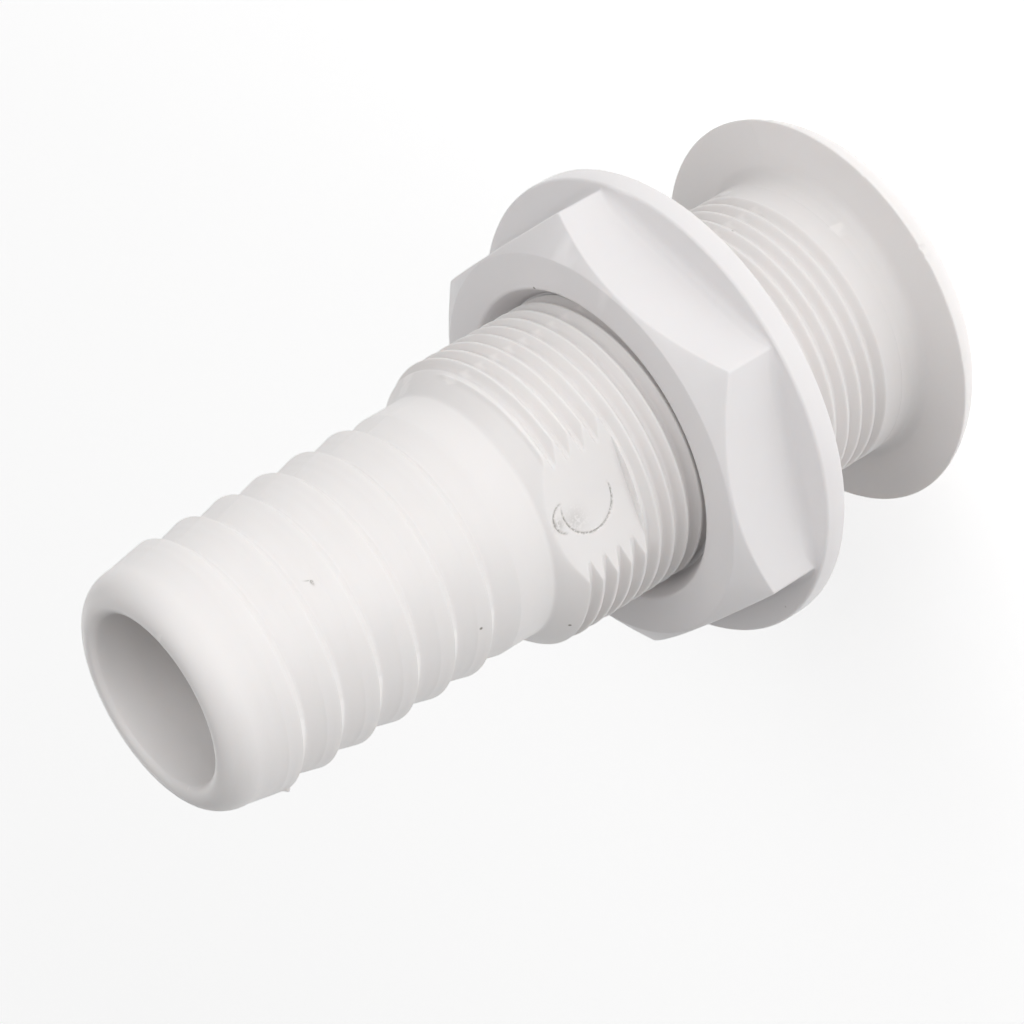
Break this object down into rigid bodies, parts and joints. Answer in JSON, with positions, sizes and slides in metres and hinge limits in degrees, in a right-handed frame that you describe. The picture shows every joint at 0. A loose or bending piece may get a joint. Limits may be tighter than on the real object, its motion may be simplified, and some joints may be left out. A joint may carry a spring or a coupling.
{
  "type": "thru hull fitting",
  "caption": "White moulded plastic thru-hull fitting: mushroom head, right-hand threaded barrel and barbed hose tail, with a flanged hexagon nut that screws along the barrel to clamp the hull.",
  "frame": {"origin": "centre of the seat: the flat underside of the mushroom head, on the waterway's axis, where it bears on the outside of the hull", "axes": "+Z along the waterway from the head towards the hose tail; XZ is the mould's parting plane; the gate pad on the barrel faces -Y"},
  "size_m": [0.0412, 0.0412, 0.0751],
  "materials": {
    "body_plastic": "satin, as moulded",
    "nut_plastic": "satin, as moulded"
  },
  "bodies": {
    "hull": {"hull_body": "body_plastic"},
    "flange": {"nut_flange": "nut_plastic"},
    "hexagon": {"nut_hexagon": "nut_plastic"}
  },
  "joints": [
    {"name": "nut_travel", "type": "slide", "parent": "hull", "child": "flange", "axis": [0, 0, 1], "range_m": [-0.01351, 0.01651]},
    {"name": "nut_turn", "type": "hinge", "parent": "flange", "child": "hexagon", "pos_m": [0, 0, 0.02], "axis": [0, 0, 1], "range_deg": [-3240, 3960]}
  ],
  "couplings": [
    {"joint": "nut_travel", "follows": "nut_turn", "m_per_rad": 0.00023873}
  ]
}
